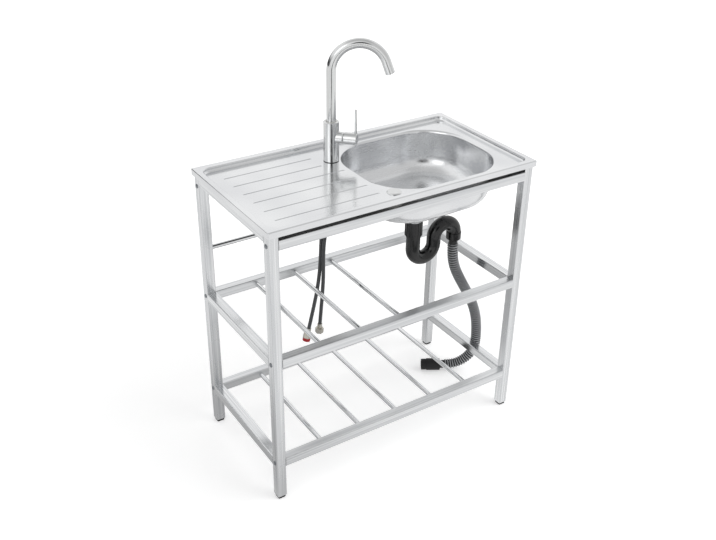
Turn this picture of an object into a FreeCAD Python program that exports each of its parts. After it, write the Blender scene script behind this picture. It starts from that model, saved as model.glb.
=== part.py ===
import FreeCAD, Part
import math
import os
import re
import Sketcher

# Freestanding outdoor sink: a square-tube stand on levelling feet, a pressed top with drainer and
# bowl, a single-lever tap with a swivelling gooseneck, and a waste with S-bend and ribbed hose.
# Frame: X runs along the front to the right, Y to the back, Z up; the origin is on the floor under
# the middle of the top. Millimetres and degrees.

SIZES = {
    # shared
    "overrun": 2, "gap": 0.3,
    # pressed top
    "top_width": 750, "top_depth": 395, "top_height": 758, "top_corner": 3, "lip_height": 16,
    "sheet_thickness": 1, "rim_band": 15, "rim_back_band": 21, "recess_depth": 11, "recess_corner": 24,
    "rim_round": 3, "recess_round": 6,
    "groove_width": 6, "groove_depth": 1, "groove_side_inset": 50, "groove_front_inset": 63.5,
    "groove_back_inset": 78.5, "groove_bowl_space": 19, "groove_tap_space": 38,
    "front_groove_count": 4, "back_groove_count": 2,
    # bowl
    "bowl_share": 0.47867, "bowl_side_space": 49, "bowl_front_space": 35.5, "bowl_back_space": 50.5,
    "bowl_corner": 118, "bowl_drop": 112, "bowl_draft": 3, "bowl_floor_radius": 45, "bowl_edge_radius": 8,
    # frame of square tube
    "tube_side": 25, "tube_wall": 1.2, "tube_corner": 2.5, "leg_side_inset": 4, "leg_end_inset": 7.5,
    "long_top_rail_drop": 41, "mid_rail_height": 407, "lower_rail_height": 112,
    "shelf_tube_radius": 6, "shelf_tube_wall": 1, "shelf_gap_count": 6,
    "mid_shelf_count": 3, "brace_height": 543,
    "screw_radius": 3, "screw_head_radius": 5.5, "screw_head_height": 2.8, "screw_reach": 14,
    "rail_plug_length": 18,
    # levelling feet
    "foot_height": 8, "foot_side": 21, "foot_corner": 4, "foot_edge": 2, "foot_stud_radius": 4,
    "foot_stud_length": 26, "leg_plug_length": 22,
    # cap of the second tap hole
    "cap_bowl_inset": 13, "cap_front_space": 50.5, "cap_radius": 17.5, "cap_rise": 3, "cap_edge": 2,
    "cap_hole_radius": 14, "cap_stud_radius": 5, "cap_stud_length": 18, "cap_nut_radius": 18,
    "cap_nut_height": 5,
    # tap body and fixing
    "tap_bowl_space": 15, "tap_back_space": 110.5, "tap_radius": 19.5, "tap_rise": 103, "tap_edge": 1.5,
    "gasket_thickness": 1.5, "shank_radius": 16, "shank_bore": 13, "shank_length": 48,
    "hose_chamber_depth": 18, "washer_radius": 18.5, "washer_thickness": 2, "back_nut_circumradius": 21,
    "back_nut_height": 8,
    # spout
    "spout_turn": 30, "spout_radius": 12, "spout_bore": 10.4, "spout_seat": 28, "spout_run": 124,
    "spout_bend": 67, "spout_bend_angle": 160, "spout_tip": 30, "bush_thickness": 2,
    "aerator_length": 10, "aerator_recess": 0.8, "aerator_hole_radius": 1.6, "aerator_hole_ring": 6,
    "aerator_hole_count": 6,
    # handle on the side of the tap
    "hub_turn": 45, "hub_rise": 62, "hub_radius": 15, "stub_reach": 32, "stub_taper_length": 3,
    "stub_taper": 2, "seam": 1.2, "cartridge_radius": 12.2, "cartridge_start": 10.3,
    "cartridge_length": 16.7, "cartridge_floor": 5.5, "carrier_radius": 8.7, "carrier_length": 8,
    "cartridge_nut_bore": 8.3, "cartridge_nut_length": 4.2, "pivot_reach": 20, "stem_radius": 3.5,
    "stem_tail": 3, "stem_slot_height": 14, "trunnion_radius": 1.5, "trunnion_length": 15,
    "cap_reach": 65, "skirt_wall": 1.8, "skirt_depth": 14, "handle_edge": 1.5, "stem_socket": 8,
    "lever_radius": 3, "lever_inset": 4, "lever_below": 17, "lever_above": 75,
    # waste in the bowl
    "waste_radius": 20, "waste_bore": 17.5, "waste_length": 86, "waste_flange_radius": 34,
    "waste_flange_rise": 2, "waste_hole_space": 1, "waste_gasket_radius": 30, "waste_gasket_thickness": 3,
    "lock_nut_circumradius": 32, "lock_nut_height": 9,
    "basket_flange_radius": 27, "basket_flange_thickness": 1.5, "basket_radius": 16, "basket_depth": 18,
    "basket_wall": 1.2, "basket_knob_radius": 6, "basket_knob_neck": 3, "basket_knob_height": 16,
    "basket_hole_radius": 2.5, "basket_hole_ring": 9.5, "basket_hole_count": 8,
    # trap and its outlet
    "trap_radius": 19, "trap_bore": 16.8, "trap_bend": 34, "trap_rise": 16, "trap_inlet_run": 61,
    "inlet_nut_radius": 22.5, "inlet_nut_rib": 1, "inlet_nut_rib_width": 3, "inlet_nut_rib_count": 16,
    "inlet_nut_length": 40, "inlet_nut_overlap": 19, "inlet_washer_thickness": 3,
    "collar_radius": 20.5, "collar_floor": 7, "collar_edge": 3.5,
    # drain hose and its end fitting
    "hose_radius": 15, "hose_valley": 12.9, "hose_bore": 11.5, "hose_rib_count": 46,
    "hose_end_length": 55, "hose_end_radius": 18, "hose_spigot_radius": 16.5, "hose_spigot_length": 16,
    "hose_end_bore": 13,
    # supply hoses
    "supply_radius": 5, "supply_bore": 3, "supply_offset": 6.3, "ferrule_radius": 6.5,
    "ferrule_length": 14, "hose_nut_circumradius": 11.5, "hose_nut_length": 14, "hose_thread_radius": 8.3,
    "hose_thread_depth": 10, "hot_cap_radius": 10.5, "hot_cap_length": 9, "hot_cap_plug": 7,
}

# Sizes that follow from those above.
FOLLOWING = {
    "groove_pitch": "((top_depth - groove_front_inset - groove_back_inset)"
                    " / (front_groove_count + back_groove_count - 1))",
    "bowl_width": "(top_width * bowl_share)",
    "bowl_length": "(top_depth - bowl_front_space - bowl_back_space)",
    "bowl_x": "(top_width / 2 - bowl_side_space - bowl_width / 2)",
    "bowl_y": "((bowl_front_space - bowl_back_space) / 2)",
    "long_top_rail_height": "(top_height - long_top_rail_drop)",
    "cap_x": "(bowl_x - bowl_width / 2 + cap_bowl_inset)",
    "cap_y": "(cap_front_space - top_depth / 2)",
    "tap_x": "(bowl_x - bowl_width / 2 - tap_bowl_space)",
    "tap_y": "(top_depth / 2 - tap_back_space)",
    "collar_length": "(trap_rise + collar_floor)",
}

# Route of the drain hose: steps sideways from the trap's outlet, and shares of the outlet's height
# above the hose's end on the floor.
DRAIN_OFFSETS = [
    (0, 0), (0, 0), (10.5, -0.5), (33.5, -2.5), (59.5, -2.5), (84.5, -2.5), (103.5, -2), (112.5, -1.5),
    (113.5, -1.5), (102.2, 5.2), (81.2, 17.7), (53.7, 33.9), (24.1, 51.5),
]
DRAIN_HEIGHT_SHARES = [
    1, 0.9, 0.8, 0.7, 0.604, 0.504, 0.395, 0.282, 0.151, 0.0816, 0.0285, 0, 0,
]
# Routes of the supply hoses, from their ends inside the tap.
HOT_OFFSETS = [
    (0, 0, 0), (0, 0, -58.5), (-3.7, 2, -121.5), (-13.7, 5, -176.5), (-20.7, 6, -231.5),
    (-22.7, 6, -286.5), (-27.7, 5, -341.5), (-37.7, 4, -396.5), (-51.7, 3, -451.5), (-63.7, 2, -496.5),
]
COLD_OFFSETS = [
    (0, 0, 0), (0, 0, -58.5), (-6.3, -1.5, -121.5), (-18.3, -4, -176.5), (-30.3, -5, -231.5),
    (-34.3, -5, -286.5), (-33.3, -4.5, -341.5), (-35.3, -2, -396.5), (-39.3, 0, -451.5), (-42.3, 1, -491.5),
]

UP = FreeCAD.Vector(0, 0, 1)
RIGHT = FreeCAD.Vector(1, 0, 0)
BACK = FreeCAD.Vector(0, 1, 0)

doc = FreeCAD.newDocument("OutdoorSink")
sizes = doc.addObject("Spreadsheet::Sheet", "sizes")
for row, (alias, value) in enumerate(SIZES.items(), 1):
    sizes.set(f"A{row}", alias)
    sizes.set(f"B{row}", str(value))
    sizes.setAlias(f"B{row}", alias)
doc.recompute()

parts = []


def expression(text):
    """Write out the sizes that follow from others, and the sheet's name before each of its aliases."""
    def in_full(word):
        name = word[0]
        if name in FOLLOWING:
            return expression(FOLLOWING[name])
        return f"sizes.{name}" if name in SIZES else name
    return re.sub(r"[a-z]\w*", in_full, text)


def amount(text):
    """Return the present value of a formula in the sheet's aliases."""
    return float(sizes.evalExpression(expression(text)))


def bind(thing, **formulas):
    """Tie properties of an object to the sheet."""
    for name, formula in formulas.items():
        thing.setExpression(name, expression(formula))


def place(thing, x, y, z, rotation=None):
    """Turn an object and tie its position to the sheet."""
    if rotation:
        thing.Placement = FreeCAD.Placement(FreeCAD.Vector(), rotation)
    for axis, formula in zip("xyz", (x, y, z)):
        thing.setExpression(f".Placement.Base.{axis}", expression(formula))
    return thing


def part(thing, label):
    """Name an object and count it among the sub-parts."""
    thing.Label = label
    parts.append(thing)
    return thing


def new_body(name):
    return doc.addObject("PartDesign::Body", name)


def sketch_on(body, role, name):
    """Start a sketch on one of the body's origin planes."""
    sketch = body.newObject("Sketcher::SketchObject", name)
    plane = next(item for item in body.Origin.OriginFeatures if item.Role == role)
    sketch.AttachmentSupport = [(plane, "")]
    sketch.MapMode = "FlatFace"
    return sketch


def tie(sketch, kind, *where, to):
    """Add a sketch dimension that follows a formula."""
    index = sketch.addConstraint(Sketcher.Constraint(kind, *where, amount(to)))
    sketch.setExpression(f"Constraints[{index}]", expression(to))


def pin_point(sketch, line, end, x, y):
    """Hold a line's end at a place given by two formulas."""
    for kind, axis, formula in (("DistanceX", -2, x), ("DistanceY", -1, y)):
        if formula == "0":
            sketch.addConstraint(Sketcher.Constraint("PointOnObject", line, end, axis))
        else:
            tie(sketch, kind, -1, 1, line, end, to=formula)


def outline(sketch, corners):
    """Draw a closed outline of straight lines through corners given by formulas."""
    points = [FreeCAD.Vector(amount(x), amount(y), 0) for x, y in corners]
    first = sketch.GeometryCount
    for start, end in zip(points, points[1:] + points[:1]):
        sketch.addGeometry(Part.LineSegment(start, end), False)
    for index, (x, y) in enumerate(corners):
        follower = first + (index + 1) % len(corners)
        sketch.addConstraint(Sketcher.Constraint("Coincident", first + index, 2, follower, 1))
        pin_point(sketch, first + index, 1, x, y)


def box_lines(sketch, width, depth, x, y):
    """Hold the four sides of a rectangle by their distances from the sketch's origin."""
    first = sketch.GeometryCount - 4
    front, right, back, left = range(first, first + 4)
    for line in (front, back):
        sketch.addConstraint(Sketcher.Constraint("Horizontal", line))
    for line in (right, left):
        sketch.addConstraint(Sketcher.Constraint("Vertical", line))
    tie(sketch, "DistanceX", -1, 1, right, 1, to=f"({width}) / 2 + {x}")
    tie(sketch, "DistanceX", left, 1, -1, 1, to=f"({width}) / 2 - {x}")
    tie(sketch, "DistanceY", -1, 1, back, 1, to=f"({depth}) / 2 + {y}")
    tie(sketch, "DistanceY", front, 1, -1, 1, to=f"({depth}) / 2 - {y}")
    return front, right, back, left


def rectangle(sketch, width, depth, x="0", y="0"):
    """Draw a sharp-cornered rectangle round a centre."""
    middle = FreeCAD.Vector(amount(x), amount(y), 0)
    half = FreeCAD.Vector(amount(width) / 2, amount(depth) / 2, 0)
    signs = ((-1, -1), (1, -1), (1, 1), (-1, 1))
    corners = [middle + FreeCAD.Vector(a * half.x, b * half.y, 0) for a, b in signs]
    for start, end in zip(corners, corners[1:] + corners[:1]):
        sketch.addGeometry(Part.LineSegment(start, end), False)
    lines = box_lines(sketch, width, depth, x, y)
    for line, follower in zip(lines, lines[1:] + lines[:1]):
        sketch.addConstraint(Sketcher.Constraint("Coincident", line, 2, follower, 1))


def rounded_rectangle(sketch, width, depth, corner, x="0", y="0"):
    """Draw a rectangle with round corners about a centre."""
    middle = FreeCAD.Vector(amount(x), amount(y), 0)
    half_x, half_y, radius = amount(width) / 2, amount(depth) / 2, amount(corner)
    arcs = []
    for index, (a, b) in enumerate(((1, -1), (1, 1), (-1, 1), (-1, -1))):
        centre = middle + FreeCAD.Vector(a * (half_x - radius), b * (half_y - radius), 0)
        start = math.radians(90 * index - 90)
        circle = Part.Circle(centre, UP, radius)
        arcs.append(sketch.addGeometry(Part.ArcOfCircle(circle, start, start + math.pi / 2), False))
    ends = [sketch.Geometry[arc].EndPoint for arc in arcs]
    starts = [sketch.Geometry[arc].StartPoint for arc in arcs]
    order = ((ends[3], starts[0]), (ends[0], starts[1]), (ends[1], starts[2]), (ends[2], starts[3]))
    for start, end in order:
        sketch.addGeometry(Part.LineSegment(start, end), False)
    lines = box_lines(sketch, width, depth, x, y)
    for index, line in enumerate(lines):
        sketch.addConstraint(Sketcher.Constraint("Tangent", line, 2, arcs[index], 1))
        sketch.addConstraint(Sketcher.Constraint("Tangent", arcs[index - 1], 2, line, 1))
    for arc in arcs[1:]:
        sketch.addConstraint(Sketcher.Constraint("Equal", arcs[0], arc))
    tie(sketch, "Radius", arcs[0], to=corner)


def ring(sketch, radius, x="0", y="0"):
    """Draw a circle about a centre given by formulas."""
    centre = FreeCAD.Vector(amount(x), amount(y), 0)
    circle = sketch.addGeometry(Part.Circle(centre, UP, amount(radius)), False)
    pin_point(sketch, circle, 3, x, y)
    tie(sketch, "Radius", circle, to=radius)


def extrude(body, kind, sketch, length, reverse=False, both_ways=False):
    """Pad or pocket a sketch by a length given as a formula."""
    feature = body.newObject(f"PartDesign::{kind}", kind)
    feature.Profile = sketch
    feature.Reversed = reverse
    feature.Midplane = both_ways
    bind(feature, Length=length)
    sketch.Visibility = False
    return feature


def turned(name, corners):
    """Turn a half section, given as radius and height formulas, about the body's Z axis."""
    body = new_body(name)
    sketch = sketch_on(body, "XZ_Plane", f"{name}_half_section")
    outline(sketch, corners)
    revolution = body.newObject("PartDesign::Revolution", f"{name}_turning")
    revolution.Profile = sketch
    revolution.ReferenceAxis = (sketch, ["V_Axis"])
    return body


def cylinder(name, radius, height):
    thing = doc.addObject("Part::Cylinder", name)
    bind(thing, Radius=radius, Height=height)
    return thing


def tube(name, radius, bore, height):
    """Make a plain ring or tube standing on the XY plane."""
    return turned(name, [(bore, "0"), (radius, "0"), (radius, height), (bore, height)])


def hexagon(name, circumradius, height):
    thing = doc.addObject("Part::Prism", name)
    thing.Polygon = 6
    bind(thing, Circumradius=circumradius, Height=height)
    return thing


def fuse(name, *things):
    whole = doc.addObject("Part::MultiFuse", name)
    whole.Shapes = list(things)
    return whole


def cut(name, base, tool):
    rest = doc.addObject("Part::Cut", name)
    rest.Base = base
    rest.Tool = tool
    return rest


def copies(label, source, placements):
    """Make one sub-part of several copies of a solid."""
    group = doc.addObject("Part::Feature", label)
    solids = []
    for placement in placements:
        solid = source.Shape.Solids[0].copy()
        solid.Placement = placement.multiply(solid.Placement)
        solids.append(solid)
    group.Shape = Part.makeCompound(solids)
    return part(group, label)


# Square-tube stand. The long rails run between the legs and are screwed through them; the side
# rails are welded between the legs of each end frame.
leg_x = "(top_width / 2 - leg_side_inset - tube_side / 2)"
leg_y = "(top_depth / 2 - leg_end_inset - tube_side / 2)"
deck_top = "(top_height - recess_depth)"
deck_under = "(top_height - recess_depth - sheet_thickness)"
long_heights = {"top": "long_top_rail_height", "mid": "mid_rail_height", "lower": "lower_rail_height"}
side_heights = dict(long_heights, top=f"({deck_under} - tube_side / 2)")
along_x = FreeCAD.Rotation(BACK, 90)
along_y = FreeCAD.Rotation(RIGHT, -90)


def square_tube(name, length):
    """Pad the section of the square tube along the body's Z axis."""
    body = new_body(name)
    section = sketch_on(body, "XY_Plane", f"{name}_section")
    rounded_rectangle(section, "tube_side", "tube_side", "tube_corner")
    rectangle(section, "tube_side - 2 * tube_wall", "tube_side - 2 * tube_wall")
    extrude(body, "Pad", section, length)
    return body


for depth_name, depth_sign in (("front", "-"), ("back", "")):
    for side_name, side_sign in (("left", "-"), ("right", "")):
        name = f"leg_{depth_name}_{side_name}"
        leg = square_tube(name, f"{deck_under} - foot_height")
        holes = sketch_on(leg, "YZ_Plane", f"{name}_screw_holes")
        for height in long_heights.values():
            ring(holes, "screw_radius + gap", "0", f"{height} - foot_height")
        extrude(leg, "Pocket", holes, "tube_side + overrun", both_ways=True)
        place(part(leg, name), f"{side_sign}{leg_x}", f"{depth_sign}{leg_y}", "foot_height")

for level, height in long_heights.items():
    for depth_name, depth_sign in (("front", "-"), ("back", "")):
        name = f"{level}_rail_{depth_name}"
        rail = square_tube(name, f"2 * {leg_x} - tube_side")
        place(part(rail, name), f"tube_side / 2 - {leg_x}", f"{depth_sign}{leg_y}", height, along_x)

for level, height in side_heights.items():
    for side_name, side_sign in (("left", "-"), ("right", "")):
        name = f"{level}_rail_{side_name}"
        rail = square_tube(name, f"2 * {leg_y} - tube_side")
        place(part(rail, name), f"{side_sign}{leg_x}", f"tube_side / 2 - {leg_y}", height, along_y)

# Round tubes: the shelf bars run from front rail to back rail, the brace between the back legs.
shelf_tube = tube("shelf_tube", "shelf_tube_radius", "shelf_tube_radius - shelf_tube_wall",
                  f"2 * {leg_y} - tube_side")
brace = tube("brace", "shelf_tube_radius", "shelf_tube_radius - shelf_tube_wall",
             f"2 * {leg_x} - tube_side")
place(part(brace, "rear_brace_bar"), f"tube_side / 2 - {leg_x}", leg_y, "brace_height", along_x)

# Screws and rail plugs: the screw's head bears on the leg's outer face, its end in the plug.
screw = turned("screw", [
    ("0", "0"), ("screw_head_radius", "0"), ("screw_head_radius", "screw_head_height"),
    ("screw_radius", "screw_head_height"),
    ("screw_radius", "screw_head_height + tube_side + screw_reach"),
    ("0", "screw_head_height + tube_side + screw_reach"),
])
plug_block = doc.addObject("Part::Box", "rail_plug_block")
plug_side = "(tube_side - 2 * tube_wall - 2 * gap)"
bind(plug_block, Length=plug_side, Width=plug_side, Height="rail_plug_length")
place(plug_block, f"-{plug_side} / 2", f"-{plug_side} / 2", "0")
plug_hole = place(cylinder("rail_plug_hole", "screw_radius + gap", "rail_plug_length + 2 * overrun"),
                  "0", "0", "-overrun")
rail_plug = cut("rail_plug", plug_block, plug_hole)

# Levelling feet: a plug in each leg's end takes the stud of a square foot, screwed home against it.
leg_plug_block = doc.addObject("Part::Box", "leg_plug_block")
bind(leg_plug_block, Length=plug_side, Width=plug_side, Height="leg_plug_length")
place(leg_plug_block, f"-{plug_side} / 2", f"-{plug_side} / 2", "0")
leg_plug_hole = place(cylinder("leg_plug_hole", "foot_stud_radius + gap", "leg_plug_length + 2 * overrun"),
                      "0", "0", "-overrun")
leg_plug = cut("leg_plug", leg_plug_block, leg_plug_hole)


def edges_at(shape, height, near):
    """Name the edges that lie level at a height and pass the test on their middle point."""
    names = []
    for index, edge in enumerate(shape.Edges, 1):
        box = edge.BoundBox
        level = abs(box.ZMin - height) + abs(box.ZMax - height) < amount("gap") / 10
        if level and near(box.Center):
            names.append(f"Edge{index}")
    return names


def round_edges(body, names, radius):
    """Round the named edges of a body's last feature."""
    fillet = body.newObject("PartDesign::Fillet", "Rounding")
    fillet.Base = (body.Tip if body.Tip != fillet else fillet.BaseFeature, names)
    bind(fillet, Radius=radius)
    return fillet


for depth_name, depth_sign in (("front", "-"), ("back", "")):
    for side_name, side_sign in (("left", "-"), ("right", "")):
        name = f"foot_{depth_name}_{side_name}"
        foot = new_body(name)
        stud = sketch_on(foot, "XY_Plane", f"{name}_stud")
        ring(stud, "foot_stud_radius")
        extrude(foot, "Pad", stud, "foot_height + foot_stud_length")
        block = sketch_on(foot, "XY_Plane", f"{name}_block")
        rounded_rectangle(block, "foot_side", "foot_side", "foot_corner")
        extrude(foot, "Pad", block, "foot_height")
        doc.recompute()
        round_edges(foot, edges_at(foot.Shape, 0, lambda point: True), "foot_edge")
        place(part(foot, name), f"{side_sign}{leg_x}", f"{depth_sign}{leg_y}", "0")

# Pressed top: rim with folded lip, recessed floor with drainer grooves, and a rolled edge down into
# the bowl. Its body stands on the lip's lower edge.
deck = new_body("sink_deck")
floor_level = "(lip_height - recess_depth)"
under_level = "(lip_height - recess_depth - sheet_thickness)"


def level_sketch(name, level):
    """Start a level sketch on the top at a height above the lip's lower edge."""
    sketch = sketch_on(deck, "XY_Plane", name)
    sketch.setExpression(".AttachmentOffset.Base.z", expression(level))
    return sketch


blank = level_sketch("blank", "0")
rounded_rectangle(blank, "top_width", "top_depth", "top_corner")
extrude(deck, "Pad", blank, "lip_height")
hollow = level_sketch("hollow", "0")
rounded_rectangle(hollow, "top_width - 2 * sheet_thickness", "top_depth - 2 * sheet_thickness",
                  "top_corner - sheet_thickness")
extrude(deck, "Pocket", hollow, "lip_height - sheet_thickness", reverse=True)
tray_width = "top_width - 2 * rim_band"
tray_depth = "top_depth - rim_band - rim_back_band"
tray_y = "(rim_band - rim_back_band) / 2"
tray = level_sketch("tray", under_level)
rounded_rectangle(tray, f"{tray_width} + 2 * sheet_thickness", f"{tray_depth} + 2 * sheet_thickness",
                  "recess_corner + sheet_thickness", "0", tray_y)
extrude(deck, "Pad", tray, "recess_depth + sheet_thickness")


def grooves(name, first_y, count, right_end):
    """Press a row of drainer grooves: a bead under the sheet, then the groove from above."""
    left_end = "(groove_side_inset - top_width / 2)"
    length = f"(({right_end}) - {left_end})"
    middle = f"((({right_end}) + {left_end}) / 2)"
    for kind, width, level, depth, reverse in (
        ("Pad", "groove_width + 2 * sheet_thickness", f"{under_level} - groove_depth", "groove_depth", False),
        ("Pocket", "groove_width", "lip_height", "recess_depth + groove_depth", False),
    ):
        sketch = level_sketch(f"{name}_{kind}", level)
        for index in range(int(amount(count))):
            margin = f"({width}) - groove_width"
            rounded_rectangle(sketch, f"{length} + {margin}", width, f"({width}) / 2 - gap", middle,
                              f"({first_y} + {index} * groove_pitch)")
        extrude(deck, kind, sketch, depth, reverse)


front_groove = "(groove_front_inset - top_depth / 2)"
back_groove = f"({front_groove} + front_groove_count * groove_pitch)"
recess = level_sketch("recess", "lip_height")
rounded_rectangle(recess, tray_width, tray_depth, "recess_corner", "0", tray_y)
extrude(deck, "Pocket", recess, "recess_depth")
grooves("front_grooves", front_groove, "front_groove_count", "bowl_x - bowl_width / 2 - groove_bowl_space")
grooves("back_grooves", back_groove, "back_groove_count", "tap_x - groove_tap_space")

collar_drop = "(bowl_edge_radius + sheet_thickness)"
collar = level_sketch("bowl_collar", f"{floor_level} - {collar_drop}")
rounded_rectangle(collar, "bowl_width + 2 * sheet_thickness", "bowl_length + 2 * sheet_thickness",
                  "bowl_corner + sheet_thickness", "bowl_x", "bowl_y")
extrude(deck, "Pad", collar, "bowl_edge_radius")
doc.recompute()


def about_bowl(margin):
    """Make a test for points that lie within a margin of the bowl's outline."""
    reach_x = amount("bowl_width") / 2 + margin
    reach_y = amount("bowl_length") / 2 + margin
    centre = (amount("bowl_x"), amount("bowl_y"))
    return lambda point: abs(point.x - centre[0]) < reach_x and abs(point.y - centre[1]) < reach_y


near_bowl = about_bowl(amount("sheet_thickness + gap"))
round_edges(deck, edges_at(deck.Shape, amount(under_level), near_bowl), "bowl_edge_radius - sheet_thickness")
mouth = level_sketch("bowl_mouth", floor_level)
rounded_rectangle(mouth, "bowl_width", "bowl_length", "bowl_corner", "bowl_x", "bowl_y")
extrude(deck, "Pocket", mouth, f"{collar_drop} + overrun")
doc.recompute()
round_edges(deck, edges_at(deck.Shape, amount(floor_level), near_bowl), "bowl_edge_radius")
tap_holes = level_sketch("tap_holes", floor_level)
ring(tap_holes, "shank_radius + gap", "tap_x", "tap_y")
ring(tap_holes, "cap_hole_radius", "cap_x", "cap_y")
extrude(deck, "Pocket", tap_holes, "sheet_thickness + overrun")
doc.recompute()


def about_recess(point):
    """Test whether a point lies on the recess's outline, clear of the bowl."""
    margin = amount("recess_corner / 2 + gap")
    beyond_x = abs(point.x) > amount(tray_width) / 2 - margin
    return beyond_x or abs(point.y - amount(tray_y)) > amount(tray_depth) / 2 - margin


round_edges(deck, edges_at(deck.Shape, amount(floor_level), about_recess), "recess_round")
doc.recompute()
round_edges(deck, edges_at(deck.Shape, amount("lip_height"), lambda point: True), "rim_round")
place(part(deck, "sink_deck"), "0", "0", "top_height - lip_height")

# Bowl: a drafted tub with a well-rounded floor, one sheet thick, welded to the rolled edge of the
# top and pierced for the waste.
bowl_rim = f"({deck_top} - {collar_drop})"


def tub(name, margin, height):
    """Make a solid tub that hangs below the bowl's rim, its walls a margin outside the bowl's."""
    body = new_body(name)
    mouth_sketch = sketch_on(body, "XY_Plane", f"{name}_mouth")
    rounded_rectangle(mouth_sketch, f"bowl_width + 2 * {margin}", f"bowl_length + 2 * {margin}",
                      f"bowl_corner + {margin}")
    pad = extrude(body, "Pad", mouth_sketch, height, reverse=True)
    bind(pad, TaperAngle="-bowl_draft")
    doc.recompute()
    floor_edges = edges_at(body.Shape, -amount(height), lambda point: True)
    round_edges(body, floor_edges, f"bowl_floor_radius + {margin}")
    return place(body, "bowl_x", "bowl_y", bowl_rim)


tub_depth = f"(bowl_drop - {collar_drop})"
outer_tub = tub("outer_tub", "sheet_thickness", f"{tub_depth} + sheet_thickness")
inner_tub = tub("inner_tub", "0", tub_depth)
waste_hole = cylinder("waste_hole", "waste_radius + waste_hole_space", "sheet_thickness + 2 * overrun")
place(waste_hole, "bowl_x", "bowl_y", f"{bowl_rim} - {tub_depth} - sheet_thickness - overrun")
part(cut("sink_bowl", outer_tub, fuse("bowl_room", inner_tub, waste_hole)), "sink_bowl")

# Cap over the second tap hole, held by a nut under the top.
cap = turned("tap_hole_cap", [
    ("0", "0"), ("cap_stud_radius", "0"), ("cap_stud_radius", "cap_stud_length"),
    ("cap_radius", "cap_stud_length"), ("cap_radius", "cap_stud_length + cap_rise - cap_edge"),
    ("cap_radius - cap_edge", "cap_stud_length + cap_rise"), ("0", "cap_stud_length + cap_rise"),
])
place(part(cap, "tap_hole_cap"), "cap_x", "cap_y", f"{deck_top} - cap_stud_length")
cap_nut = tube("tap_hole_cap_nut", "cap_nut_radius", "cap_stud_radius + gap", "cap_nut_height")
place(part(cap_nut, "tap_hole_cap_nut"), "cap_x", "cap_y", f"{deck_under} - cap_nut_height")

# Tap: a column with a side stub for the cartridge, fixed by a hollow shank, washer and nut.
along_hub = FreeCAD.Rotation(UP, -amount("hub_turn")).multiply(along_x)
tap_base = f"({deck_top} + gasket_thickness)"
tap_top = f"({deck_top} + tap_rise)"
hub_height = f"({deck_top} + hub_rise)"


def on_tap(thing, height):
    """Stand a piece on the tap's axis."""
    return place(thing, "tap_x", "tap_y", height)


def on_hub(thing, reach):
    """Set a piece on the hub's axis at a distance from the tap's axis."""
    return place(thing, f"tap_x + ({reach}) * cos(hub_turn)", f"tap_y - ({reach}) * sin(hub_turn)",
                 hub_height, along_hub)


column = on_tap(turned("tap_column", [
    ("0", "0"), ("tap_radius", "0"), ("tap_radius", "tap_rise - gasket_thickness - tap_edge"),
    ("tap_radius - tap_edge", "tap_rise - gasket_thickness"), ("0", "tap_rise - gasket_thickness"),
]), tap_base)
stub = on_hub(turned("tap_stub", [
    ("0", "0"), ("hub_radius", "0"), ("hub_radius", "stub_reach - stub_taper_length"),
    ("hub_radius - stub_taper", "stub_reach"), ("0", "stub_reach"),
]), "0")
spout_well = on_tap(cylinder("spout_well", "spout_radius + bush_thickness + 2 * gap", "spout_seat + overrun"),
                    f"{tap_top} - spout_seat")
hose_chamber = on_tap(cylinder("hose_chamber", "shank_bore", "hose_chamber_depth + overrun"),
                      f"{tap_base} - overrun")
cartridge_well = on_hub(cylinder("cartridge_well", "cartridge_radius + gap", "stub_reach + overrun"),
                        "cartridge_start")
tap_wells = fuse("tap_wells", spout_well, hose_chamber, cartridge_well)
part(cut("tap_body", fuse("tap_solid", column, stub), tap_wells), "tap_body")

gasket = tube("tap_base_gasket", "tap_radius", "shank_radius + gap", "gasket_thickness")
on_tap(part(gasket, "tap_base_gasket"), deck_top)
shank = tube("tap_shank", "shank_radius", "shank_bore", "shank_length")
on_tap(part(shank, "tap_shank"), f"{tap_base} - shank_length")
washer = tube("tap_backing_washer", "washer_radius", "shank_radius + gap", "washer_thickness")
on_tap(part(washer, "tap_backing_washer"), f"{deck_under} - washer_thickness")
back_nut_level = f"({deck_under} - washer_thickness - back_nut_height)"
back_nut = cut("tap_back_nut", on_tap(hexagon("back_nut_blank", "back_nut_circumradius", "back_nut_height"),
                                      back_nut_level),
               on_tap(cylinder("back_nut_hole", "shank_radius + gap", "back_nut_height + 2 * overrun"),
                      f"{back_nut_level} - overrun"))
part(back_nut, "tap_back_nut")


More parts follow.
